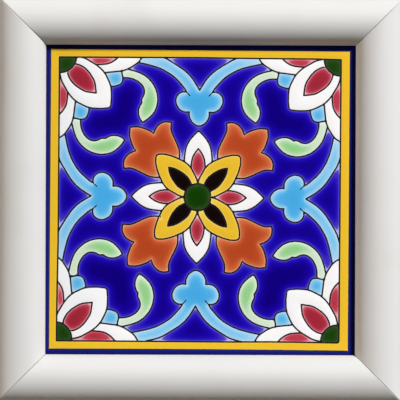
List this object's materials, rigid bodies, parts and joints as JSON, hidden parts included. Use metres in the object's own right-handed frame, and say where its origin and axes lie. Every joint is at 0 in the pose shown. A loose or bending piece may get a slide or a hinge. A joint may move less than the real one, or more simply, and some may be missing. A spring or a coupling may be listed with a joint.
{
  "type": "framed decorative ceramic tile",
  "caption": "Square glazed ceramic tile with a flower ornament in outlined coloured glazes, seated in a white half-round mitred frame that lies flat or hangs.",
  "frame": {"origin": "centre of the frame's back, on the surface it lies on", "axes": "+Z out of the glazed face, +Y to the top of the picture, +X to its right"},
  "size_m": [0.252, 0.252, 0.021],
  "materials": {
    "glazed_tile": "gloss",
    "white_lacquer": "satin"
  },
  "bodies": {
    "root": {"tile": "glazed_tile", "frame_rail_top": "white_lacquer", "frame_rail_bottom": "white_lacquer", "frame_rail_left": "white_lacquer", "frame_rail_right": "white_lacquer"}
  },
  "joints": []
}
